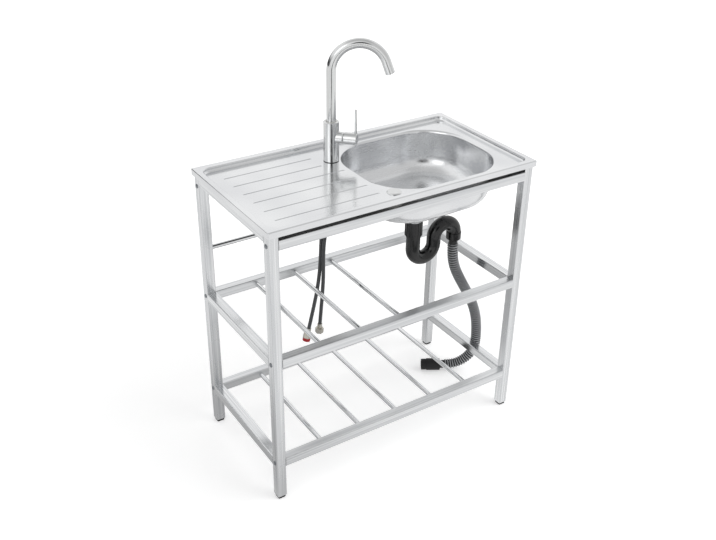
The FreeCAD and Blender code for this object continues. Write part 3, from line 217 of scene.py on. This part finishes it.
# Pressed top of 1 mm stainless sheet with rim, recess and drainer grooves, and the bowl deep-drawn from the
# same sheet and welded to its rolled edge. Drawn sheet is polished with soft wheels and keeps a slight wave.


def drawn_sheet(name, low, high, coat_and_shade, wavy):
    """Drawn stainless sheet: bright satin with a faint grain along the top's length and a slow wave of the press.

    The grain of 0.1 mm is drawn 3 mm wide so that it shows; the wave is about 120 mm long. Faces that look down are
    painted near black, up to the share given for the coat: the black anti-drumming coat that such tops are sprayed with
    underneath, and painted shade under the top.
    """
    grain_length, grain_width, wave_length = 0.15, 0.003, 0.12
    material, tree = finish(name)
    coordinates = add(tree, "TexCoord")
    place = coordinates.outputs["Object"]
    grain_place = add(tree, "Mapping", {"Vector": place, "Scale": (1 / grain_length, 1 / grain_width, 1 / grain_width)})
    grain = add(tree, "TexNoise", {"Vector": grain_place.outputs["Vector"], "Scale": 1.0, "Detail": 2.0})
    wave = add(tree, "TexNoise", {"Vector": place, "Scale": 1 / wave_length, "Detail": 1.0})
    tint = add(tree, "ValToRGB", {"Fac": wave.outputs["Fac"]})
    tint.color_ramp.elements[0].position, tint.color_ramp.elements[0].color = 0.3, linear("#DEDFE1")
    tint.color_ramp.elements[1].position, tint.color_ramp.elements[1].color = 0.7, linear("#E9EAEB")
    # Faces that look down are painted near black: the anti-drumming coat underneath, and painted shade under the top.
    facing = add(tree, "SeparateXYZ", {"Vector": coordinates.outputs["Normal"]})
    under = add(tree, "MapRange", {"Value": facing.outputs["Z"], "From Min": -0.4, "From Max": -0.7, "To Min": 0.0,
                                   "To Max": coat_and_shade})
    colour = add(tree, "MixRGB", {"Fac": under.outputs["Result"], "Color1": tint.outputs["Color"],
                                  "Color2": linear("#151516")})
    gloss = add(tree, "MapRange", {"Value": grain.outputs["Fac"], "From Min": 0.3, "From Max": 0.7,
                                   "To Min": low, "To Max": high})
    dull = add(tree, "Math", {0: gloss.outputs["Result"], 1: under.outputs["Result"]}, operation="MAXIMUM")
    bare = add(tree, "Math", {0: 1.0, 1: under.outputs["Result"]}, operation="SUBTRACT")
    press = add(tree, "Bump", {"Height": wave.outputs["Fac"], "Strength": wavy, "Distance": 0.002})
    relief = add(tree, "Bump", {"Height": grain.outputs["Fac"], "Strength": 0.02, "Distance": 0.0002,
                                "Normal": press.outputs["Normal"]})
    steel = add(tree, "BsdfPrincipled", {"Base Color": colour.outputs["Color"], "Metallic": bare.outputs[0],
                                         "Roughness": dull.outputs[0], "Normal": relief.outputs["Normal"]})
    add(tree, "OutputMaterial", {"Surface": steel.outputs["BSDF"]})
    return material


coat(drawn_sheet("satin_stainless_top", low=0.14, high=0.2, coat_and_shade=0.9, wavy=0.07), "sink_deck")
coat(drawn_sheet("satin_stainless_bowl", low=0.22, high=0.28, coat_and_shade=0.0, wavy=0.06), "sink_bowl")

# Tap of brass and stainless tube, brushed and nickel plated: column, gooseneck, handle cap and pin lever, with the
# cap of the spare hole in the same finish. The cartridge, the bush and the cap's nut are moulded in acetal. A
# zinc-plated nut on the brass shank clamps the tap to the top over a rubber gasket.


def brushed_nickel(name, dark, light, low, high):
    """Brushed nickel: a shade darker than steel, with hair lines along the tube and a calm satin sheen.

    Scratches of 0.1 mm are too fine to show, so they are drawn 0.8 mm wide and 80 mm long.
    """
    hair_width, hair_length, sheen_size = 0.0008, 0.08, 0.05
    material, tree = finish(name)
    place = add(tree, "TexCoord").outputs["Object"]
    hair_place = add(tree, "Mapping", {"Vector": place, "Scale": (1 / hair_width, 1 / hair_width, 1 / hair_length)})
    hair = add(tree, "TexNoise", {"Vector": hair_place.outputs["Vector"], "Scale": 1.0, "Detail": 2.0})
    tint = add(tree, "ValToRGB", {"Fac": hair.outputs["Fac"]})
    tint.color_ramp.elements[0].position, tint.color_ramp.elements[0].color = 0.3, linear(dark)
    tint.color_ramp.elements[1].position, tint.color_ramp.elements[1].color = 0.7, linear(light)
    sheen = add(tree, "TexNoise", {"Vector": place, "Scale": 1 / sheen_size, "Detail": 2.0})
    gloss = add(tree, "MapRange", {"Value": sheen.outputs["Fac"], "From Min": 0.3, "From Max": 0.7,
                                   "To Min": low, "To Max": high})
    nickel = add(tree, "BsdfPrincipled", {"Base Color": tint.outputs["Color"], "Metallic": 1.0,
                                          "Roughness": gloss.outputs["Result"]})
    add(tree, "OutputMaterial", {"Surface": nickel.outputs["BSDF"]})
    return material


coat(brushed_nickel("brushed_nickel", "#D2D3D3", "#E2E3E3", low=0.1, high=0.14), "tap_body", "tap_spout",
     "handle_cap", "handle_lever", "tap_hole_cap")
plated_brass = brushed_nickel("nickel_plated_brass", "#B6B3AA", "#C8C5BC", low=0.2, high=0.3)
coat(plated_brass, "tap_shank", "cartridge_nut")
white_plastic = moulded_plastic("white_acetal", "#D9D8D3", "#E8E7E3", low=0.3, high=0.4, grit=0.001)
coat(white_plastic, "tap_cartridge", "cartridge_carrier", "spout_bush", "spout_aerator", "tap_hole_cap_nut")
coat(zinc, "tap_back_nut", "tap_backing_washer", "handle_stem")
coat(rubber, "tap_base_gasket")

# Waste of pressed stainless: flange in the bowl's floor and the lift-out basket, polished brighter than the bowl.
# The tail under the bowl carries a rolled thread of 2 mm pitch for the lock nut and for the union nut of the trap,
# which is moulded in black polypropylene.
waste_steel = brushed_nickel("polished_waste_steel", "#D0D2D3", "#E0E1E2", low=0.08, high=0.15)
coat(waste_steel, "drain_flange", "strainer_basket")
coat(zinc, "drain_lock_nut")
coat(rubber, "drain_gasket", "trap_inlet_washer")
coat(black_plastic, "trap_inlet_nut", "trap_bend", "trap_outlet_collar")
drain_x, drain_y, tail_foot, tail_head = 0.1465, -0.0075, 0.5685, 0.6215
root_radius, thread_depth, thread_pitch, tail_bore = 0.0199, 0.00045, 0.002, 0.0185
thread_rows, bore_rows, thread_columns = 160, 4, 60
tail_height = np.concatenate([np.linspace(tail_foot, tail_head, thread_rows),
                              np.linspace(tail_head, tail_foot, bore_rows)])[:, None]
turn = np.linspace(0, 2 * np.pi, thread_columns, endpoint=False)[None, :]
ridge = 0.5 + 0.5 * np.cos(2 * np.pi * tail_height / thread_pitch - turn)
threaded = np.arange(thread_rows + bore_rows)[:, None] < thread_rows
tail_radius = np.where(threaded, root_radius + thread_depth * ridge, tail_bore)
thread_grid = np.stack(np.broadcast_arrays(drain_x + tail_radius * np.cos(turn), drain_y + tail_radius * np.sin(turn),
                                           tail_height), axis=-1)
thread = skin("waste_tail_thread", thread_grid, waste_steel)
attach(thread, "stand")

# Drain hose of grey polypropylene, blown into ribs 7.5 mm apart, about 0.55 m long. It is pushed into the trap's
# collar and ends in a black rubber fitting on the floor.
coat(rubber, "drain_hose_end")
outlet = np.array([0.2825, -0.0075, 0.478])
lying_height = 0.0183
drain_steps = np.array([
    (0, 0, 1), (0, 0, 0.9), (10.5, -0.5, 0.8), (33.5, -2.5, 0.7), (59.5, -2.5, 0.604), (84.5, -2.5, 0.504),
    (103.5, -2, 0.395), (112.5, -1.5, 0.282), (113.5, -1.5, 0.151), (102.2, 5.2, 0.0816), (81.2, 17.7, 0.0285),
    (53.7, 33.9, 0), (24.1, 51.5, 0)])
drain_points = np.column_stack([outlet[0] + drain_steps[:, 0] / 1000, outlet[1] + drain_steps[:, 1] / 1000,
                                lying_height + drain_steps[:, 2] * (outlet[2] - lying_height)])


def laid_line(name, points):
    """Read back the line of a NURBS spline of order 3 that has a route's points as its control points."""
    curve = bpy.data.curves.new(name, "CURVE")
    curve.dimensions = "3D"
    curve.resolution_u = 24
    spline = curve.splines.new("NURBS")
    spline.points.add(len(points) - 1)
    spline.points.foreach_set("co", np.column_stack([points, np.ones(len(points))]).ravel())
    spline.order_u = 3
    spline.use_endpoint_u = True
    holder = bpy.data.objects.new(name, curve)
    mesh = bpy.data.meshes.new_from_object(holder)
    line = np.zeros(len(mesh.vertices) * 3)
    mesh.vertices.foreach_get("co", line)
    bpy.data.meshes.remove(mesh)
    bpy.data.curves.remove(curve)
    return line.reshape(-1, 3)


def along_line(line, distances):
    """Points and unit directions at distances along a line, by linear interpolation over its arc length."""
    reach = np.concatenate([[0], np.cumsum(np.linalg.norm(np.diff(line, axis=0), axis=1))])
    points = np.column_stack([np.interp(distances, reach, line[:, k]) for k in range(3)])
    ahead = np.gradient(line, reach, axis=0)
    heading = np.column_stack([np.interp(distances, reach, ahead[:, k]) for k in range(3)])
    return points, heading / np.linalg.norm(heading, axis=1, keepdims=True)


def hose_grid(line, distances, radii, columns, sideways):
    """Carry a circle along a line: point = centre + radius (side cos a + up sin a), radii per row and column.

    side is the part of a fixed sideways direction that is square to the heading, up is heading x side.
    """
    centres, heading = along_line(line, distances)
    side = sideways - heading * (heading @ sideways)[:, None]
    side /= np.linalg.norm(side, axis=1, keepdims=True)
    up = np.cross(heading, side)
    angle = np.linspace(0, 2 * np.pi, columns, endpoint=False)
    circle = side[:, None] * np.cos(angle)[None, :, None] + up[:, None] * np.sin(angle)[None, :, None]
    return centres[:, None] + circle * np.broadcast_to(radii, (len(distances), columns))[..., None]


crest, valley, bore, rib_pitch, cuff = 0.015, 0.0123, 0.0115, 0.0075, 0.012
rows_per_rib, bore_rows, hose_columns, steepness = 10, 90, 40, 2.0
drain_line = laid_line("drain_route", drain_points)
drain_length = np.linalg.norm(np.diff(drain_line, axis=0), axis=1).sum()
outside = np.linspace(0, drain_length, int(drain_length / rib_pitch * rows_per_rib))
# Across a rib the wall follows tanh(k sin a) / tanh(k), squared, for flat valleys; the cuffs at both ends are plain.
swell = np.tanh(steepness * np.sin(2 * np.pi * (outside - cuff) / rib_pitch)) / np.tanh(steepness) / 2 + 0.5
in_ribs = np.clip(np.minimum(outside - cuff, drain_length - cuff - outside) / (rib_pitch / 2), 0, 1)
rib = swell ** 2 * in_ribs
inside = np.linspace(drain_length, 0, bore_rows)
distances = np.concatenate([outside, inside])
radii = np.concatenate([valley + (crest - valley) * rib, np.full(len(inside), bore)])
# The rib's swell is also the painted light: crests painted light, valleys painted shade.
light_and_shade_marks = np.concatenate([rib, np.zeros(len(inside))])
dust_size = 0.02
grey_hose, tree = finish("grey_polypropylene_hose")
place = add(tree, "TexCoord").outputs["Object"]
# Crests are painted light and valleys near black: a painted highlight on the ribs and painted shade in the valleys. The
# plastic itself is mid grey with a satin skin, and dust of about 20 mm changes only its gloss.
rib_light_and_shade = add(tree, "Attribute", attribute_name="light_and_shade")
tint = add(tree, "ValToRGB", {"Fac": rib_light_and_shade.outputs["Fac"]})
tint.color_ramp.elements[0].color, tint.color_ramp.elements[1].color = linear("#101112"), linear("#B4B6B9")
dust = add(tree, "TexNoise", {"Vector": place, "Scale": 1 / dust_size, "Detail": 3.0})
gloss = add(tree, "MapRange", {"Value": dust.outputs["Fac"], "To Min": 0.2, "To Max": 0.35})
plastic = add(tree, "BsdfPrincipled", {"Base Color": tint.outputs["Color"], "IOR": 1.49,
                                       "Roughness": gloss.outputs["Result"]})
add(tree, "OutputMaterial", {"Surface": plastic.outputs["BSDF"]})
square_to_bend = np.array([0.511, 0.8595, 0.0])
drain_grid = hose_grid(drain_line, distances, radii[:, None], hose_columns, square_to_bend)
drain_hose = skin("ribbed_drain_hose", drain_grid, grey_hose, np.repeat(light_and_shade_marks[:, None], hose_columns, axis=1))
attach(drain_hose, "stand")
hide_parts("drain_hose")

# Supply hoses of rubber under a woven nylon cover, 10 mm thick and about half a metre long. They hang from the
# tap's shank and end in plated nuts; the hot one is closed by a red cap.
supply_cover, tree = finish("woven_nylon_cover")
# Round yarns stand proud of the weave and are painted lighter, a painted highlight; the gaps between them are painted
# dark, a painted shade.
yarn_light_and_shade = add(tree, "Attribute", attribute_name="light_and_shade")
tint = add(tree, "ValToRGB", {"Fac": yarn_light_and_shade.outputs["Fac"]})
tint.color_ramp.elements[0].color, tint.color_ramp.elements[1].color = linear("#1F2022"), linear("#515356")
nylon = add(tree, "BsdfPrincipled", {"Base Color": tint.outputs["Color"], "IOR": 1.53, "Roughness": 0.45,
                                     "Sheen Weight": 0.2})
add(tree, "OutputMaterial", {"Surface": nylon.outputs["BSDF"]})
coat(plated_brass, "hot_hose_nut", "cold_hose_nut")
red_plastic = moulded_plastic("red_polyethylene", "#A5121A", "#C41A22", low=0.3, high=0.42, grit=0.001)
coat(red_plastic, "hot_hose_cap")
supply_steps = {
    "hot": (-0.0543, [(0, 0, 0), (0, 0, -58.5), (-3.7, 2, -121.5), (-13.7, 5, -176.5), (-20.7, 6, -231.5),
                      (-22.7, 6, -286.5), (-27.7, 5, -341.5), (-37.7, 4, -396.5), (-51.7, 3, -451.5),
                      (-63.7, 2, -496.5)], 0.502, ["hot_hose_nut", "hot_hose_cap"]),
    "cold": (-0.0417, [(0, 0, 0), (0, 0, -58.5), (-6.3, -1.5, -121.5), (-18.3, -4, -176.5), (-30.3, -5, -231.5),
                       (-34.3, -5, -286.5), (-33.3, -4.5, -341.5), (-35.3, -2, -396.5), (-39.3, 0, -451.5),
                       (-42.3, 1, -491.5)], 0.495, ["cold_hose_nut"]),
}
tap_y, chamber_height = 0.087, 0.7665
cover_radius, yarn_height, supply_bore, yarns, yarn_turn = 0.0047, 0.0003, 0.003, 9, 0.024
row_step, bore_rows, hose_columns = 0.0009, 60, 36
for water, (start_x, steps, length, ends) in supply_steps.items():
    start = np.array([start_x, tap_y, chamber_height])
    line = laid_line(f"{water}_route", start + np.array(steps) / 1000)
    reach = np.linalg.norm(np.diff(line, axis=0), axis=1).sum()
    outside = np.linspace(0, reach, int(reach / row_step))
    angle = np.linspace(0, 2 * np.pi, hose_columns, endpoint=False)
    # Two sets of 9 yarns wind opposite ways, one turn in 24 mm; a yarn's height is the larger of two cosines.
    turn = 2 * np.pi * outside[:, None] / yarn_turn
    yarn = np.maximum(np.cos(yarns * (angle + turn)), np.cos(yarns * (angle - turn))) / 2 + 0.5
    inside = np.linspace(reach, 0, bore_rows)
    radii = np.concatenate([cover_radius + yarn_height * yarn, np.full((bore_rows, hose_columns), supply_bore)])
    # The yarns' height is also the painted light: yarns painted light, gaps painted shade.
    light_and_shade_marks = np.concatenate([yarn, np.zeros((bore_rows, hose_columns))])
    grid = hose_grid(line, np.concatenate([outside, inside]), radii, hose_columns, np.array([0.0, 1.0, 0.0]))
    hose = skin(f"woven_{water}_hose", grid, supply_cover, light_and_shade_marks)
    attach(hose, "stand")
    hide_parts(f"{water}_supply_hose")

# Studio: a pale paper floor, a broad lamp to the right of the camera, weaker ones to the left and above, and white
# surroundings that the metal shows too.
floor_reach, floor_height = 8, -0.0004
floor_mesh = bpy.data.meshes.new("studio_floor")
floor_corners = [(x * floor_reach, y * floor_reach, floor_height) for x, y in ((-1, -1), (1, -1), (1, 1), (-1, 1))]
floor_mesh.from_pydata(floor_corners, [], [(0, 1, 2, 3)])
floor = bpy.data.objects.new("studio_floor", floor_mesh)
bpy.context.scene.collection.objects.link(floor)
paper, tree = finish("white_paper_floor")
rays = add(tree, "LightPath")
shown = add(tree, "Math", {0: rays.outputs["Is Camera Ray"], 1: rays.outputs["Is Transmission Ray"]},
            operation="MAXIMUM")
place = add(tree, "TexCoord").outputs["Object"]
# To the eye the paper fades to white away from the object, and its shadow stays near the feet.
away = add(tree, "VectorMath", {0: place}, operation="LENGTH")
fade = add(tree, "MapRange", {"Value": away.outputs["Value"], "From Min": 0.5, "From Max": 2.0, "To Min": 0.5,
                              "To Max": 0.85}, interpolation_type="SMOOTHSTEP")
shown_glow = add(tree, "Math", {0: shown.outputs[0], 1: fade.outputs["Result"]}, operation="MULTIPLY")
diffuse = add(tree, "BsdfDiffuse", {"Color": linear("#E6E6E6")})
glow = add(tree, "Emission", {"Strength": shown_glow.outputs[0]})
paper_seen = add(tree, "AddShader", {0: diffuse.outputs["BSDF"], 1: glow.outputs["Emission"]})
# What the metal sees of the paper is painted light: it glows brighter away from the object, to the left and to the
# front, with painted shade below the camera.
leftward = add(tree, "VectorMath", {0: place, 1: (-0.83, 0.4, 0.0)}, operation="DOT_PRODUCT")
left_pool = add(tree, "MapRange", {"Value": leftward.outputs["Value"], "From Min": 0.42, "From Max": 0.75,
                                   "To Min": 0.5, "To Max": 0.9}, interpolation_type="SMOOTHSTEP")
forward = add(tree, "VectorMath", {0: place, 1: (0.55, -0.83, 0.0)}, operation="DOT_PRODUCT")
front_pool = add(tree, "MapRange", {"Value": forward.outputs["Value"], "From Min": -0.25, "From Max": 0.4,
                                    "To Min": 0.5, "To Max": 0.97}, interpolation_type="SMOOTHSTEP")
pool = add(tree, "Math", {0: left_pool.outputs["Result"], 1: front_pool.outputs["Result"]}, operation="MAXIMUM")
patch = add(tree, "VectorMath", {0: place, 1: (1.25, 2.5, 0.0)}, operation="ADD")
patch_place = add(tree, "VectorMath", {0: patch.outputs["Vector"], 1: (2.0, 2.0, 0.0)}, operation="MULTIPLY")
off_patch = add(tree, "VectorMath", {0: patch_place.outputs["Vector"]}, operation="LENGTH")
dim = add(tree, "MapRange", {"Value": off_patch.outputs["Value"], "From Min": 0.85, "From Max": 1.15, "To Min": 0.06,
                             "To Max": 1.0}, interpolation_type="SMOOTHSTEP")
pool_seen = add(tree, "Math", {0: pool.outputs[0], 1: dim.outputs["Result"]}, operation="MULTIPLY")
mirrored = add(tree, "Emission", {"Strength": pool_seen.outputs[0]})
both = add(tree, "MixShader", {0: rays.outputs["Is Glossy Ray"], 1: paper_seen.outputs["Shader"],
                               2: mirrored.outputs["Emission"]})
add(tree, "OutputMaterial", {"Surface": both.outputs["Shader"]})
floor_mesh.materials.append(paper)

world = bpy.data.worlds.new("white_studio")
bpy.context.scene.world = world
world.use_nodes = True
tree = world.node_tree
tree.nodes.clear()
plain_white = linear("#FFFFFF")
rays = add(tree, "LightPath")
direction = add(tree, "TexCoord").outputs["Generated"]
height = add(tree, "SeparateXYZ", {"Vector": direction})
# What the metal shows above the floor: a dim band of studio wall at eye height under a white ceiling.
walls = add(tree, "ValToRGB", {"Fac": height.outputs["Z"]})
walls.color_ramp.elements[0].position, walls.color_ramp.elements[0].color = 0.07, linear("#545557")
walls.color_ramp.elements[1].position, walls.color_ramp.elements[1].color = 0.3, plain_white
shown = add(tree, "Math", {0: rays.outputs["Is Camera Ray"], 1: rays.outputs["Is Transmission Ray"]},
            operation="MAXIMUM")
soft = add(tree, "Background", {"Color": plain_white, "Strength": 0.32})
# The camera's side of the room is unlit, and the wall to the right of it is grey.
facing = add(tree, "VectorMath", {0: direction, 1: (-0.383, -0.821, 0.423)}, operation="DOT_PRODUCT")
unlit = add(tree, "MapRange", {"Value": facing.outputs["Value"], "From Min": 0.955, "From Max": 0.985, "To Min": 1.0,
                               "To Max": 0.06}, interpolation_type="SMOOTHSTEP")
frontward = add(tree, "VectorMath", {0: direction, 1: (0.45, -0.75, 0.485)}, operation="DOT_PRODUCT")
grey_side = add(tree, "MapRange", {"Value": frontward.outputs["Value"], "From Min": 0.6, "From Max": 0.95,
                                   "To Min": 1.0, "To Max": 0.7}, interpolation_type="SMOOTHSTEP")
dimmed = add(tree, "Math", {0: unlit.outputs["Result"], 1: grey_side.outputs["Result"]}, operation="MULTIPLY")
# The ceiling is a little darker right above, so that the top's pressed forms show from there.
overhead = add(tree, "MapRange", {"Value": height.outputs["Z"], "From Min": 0.72, "From Max": 0.97, "To Min": 1.0,
                                  "To Max": 0.6}, interpolation_type="SMOOTHSTEP")
roofed = add(tree, "Math", {0: dimmed.outputs[0], 1: overhead.outputs["Result"]}, operation="MULTIPLY")
# A bright soft box on the left makes the white line down the tap.
boxward = add(tree, "VectorMath", {0: direction, 1: (-0.842, -0.34, 0.42)}, operation="DOT_PRODUCT")
box = add(tree, "MapRange", {"Value": boxward.outputs["Value"], "From Min": 0.95, "From Max": 0.98, "To Min": 1.0,
                             "To Max": 1.8}, interpolation_type="SMOOTHSTEP")
lit = add(tree, "Math", {0: roofed.outputs[0], 1: box.outputs["Result"]}, operation="MULTIPLY")
# The dim band lies to the back left, away from the lamps.
backward = add(tree, "VectorMath", {0: direction, 1: (-0.68, 0.73, 0.0)}, operation="DOT_PRODUCT")
band = add(tree, "MapRange", {"Value": backward.outputs["Value"], "From Min": 0.45, "From Max": 0.85, "To Min": 0.0,
                              "To Max": 1.0}, interpolation_type="SMOOTHSTEP")
room = add(tree, "MixRGB", {"Fac": band.outputs["Result"], "Color1": plain_white, "Color2": walls.outputs["Color"]})
mirror = add(tree, "Background", {"Color": room.outputs["Color"], "Strength": lit.outputs[0]})
white = add(tree, "Background", {"Color": plain_white, "Strength": 1.0})
by_gloss = add(tree, "MixShader", {0: rays.outputs["Is Glossy Ray"], 1: soft.outputs["Background"],
                                   2: mirror.outputs["Background"]})
by_camera = add(tree, "MixShader", {0: shown.outputs[0], 1: by_gloss.outputs["Shader"],
                                    2: white.outputs["Background"]})
add(tree, "OutputWorld", {"Surface": by_camera.outputs["Shader"]})

# The lamps point at the middle of the stand and don't show in the metal.
stand_middle = np.array((0.0, 0.0, 0.5))
for name, spot, size, power in (("broad_lamp", (2.6, -2.4, 3.2), 3.6, 105), ("left_lamp", (-3.2, -0.6, 2.4), 3.6, 18),
                                ("ceiling_lamp", (0.2, 0.8, 3.6), 4.2, 34)):
    lamp = bpy.data.lights.new(name, "AREA")
    lamp.size, lamp.energy = size, power
    holder = bpy.data.objects.new(name, lamp)
    aim = stand_middle - np.array(spot)
    back = -aim / np.linalg.norm(aim)
    side = np.cross((0.0, 0.0, 1.0), back)
    side /= np.linalg.norm(side)
    holder.matrix_world = Matrix(np.vstack([np.column_stack([side, np.cross(back, side), back, spot]), (0, 0, 0, 1)]))
    holder.visible_glossy = False
    bpy.context.scene.collection.objects.link(holder)

# A card of black felt hangs behind the stand as a studio flag. Only the metal shows it: it draws the dark line along
# the bright shelf tubes.
felt_fibre = 0.004
flag_mesh = bpy.data.meshes.new("black_flag")
flag_mesh.from_pydata([(-0.9, 0.96, 0.86), (-0.58, 1.04, 0.86), (-0.58, 1.04, 1.16), (-0.9, 0.96, 1.16)], [],
                      [(0, 1, 2, 3)])
flag = bpy.data.objects.new("black_flag", flag_mesh)
flag.visible_camera = flag.visible_diffuse = flag.visible_shadow = False
bpy.context.scene.collection.objects.link(flag)
felt, tree = finish("black_felt")
place = add(tree, "TexCoord").outputs["Object"]
nap = add(tree, "TexNoise", {"Vector": place, "Scale": 1 / felt_fibre, "Detail": 2.0})
tint = add(tree, "ValToRGB", {"Fac": nap.outputs["Fac"]})
tint.color_ramp.elements[0].color, tint.color_ramp.elements[1].color = linear("#0C0C0D"), linear("#1A1A1B")
wool = add(tree, "BsdfDiffuse", {"Color": tint.outputs["Color"]})
add(tree, "OutputMaterial", {"Surface": wool.outputs["BSDF"]})
flag_mesh.materials.append(felt)

# Camera at the photograph's place: 33 degrees to the left of the front and 30 degrees down, with a slight roll and
# the lens that the photograph's perspective gives.
camera_place = (-1.15028, -1.73276, 1.66163)
yaw, pitch, roll, focal_pixels, frame_width = 0.577813, 0.523922, 0.015362, 926.03, 716
ahead = np.array([np.sin(yaw) * np.cos(pitch), np.cos(yaw) * np.cos(pitch), -np.sin(pitch)])
level = np.array([np.cos(yaw), -np.sin(yaw), 0.0])
top = np.cross(level, ahead)
right = np.cos(roll) * level + np.sin(roll) * top
up = np.cos(roll) * top - np.sin(roll) * level
camera = bpy.data.cameras.new("photo_camera")
camera.sensor_width = 36
camera.lens = focal_pixels / frame_width * camera.sensor_width
eye = bpy.data.objects.new("photo_camera", camera)
eye.matrix_world = Matrix(np.vstack([np.column_stack([right, up, -ahead, camera_place]), (0, 0, 0, 1)]))
bpy.context.scene.collection.objects.link(eye)
bpy.context.scene.camera = eye
bpy.context.scene.view_settings.view_transform = "Standard"
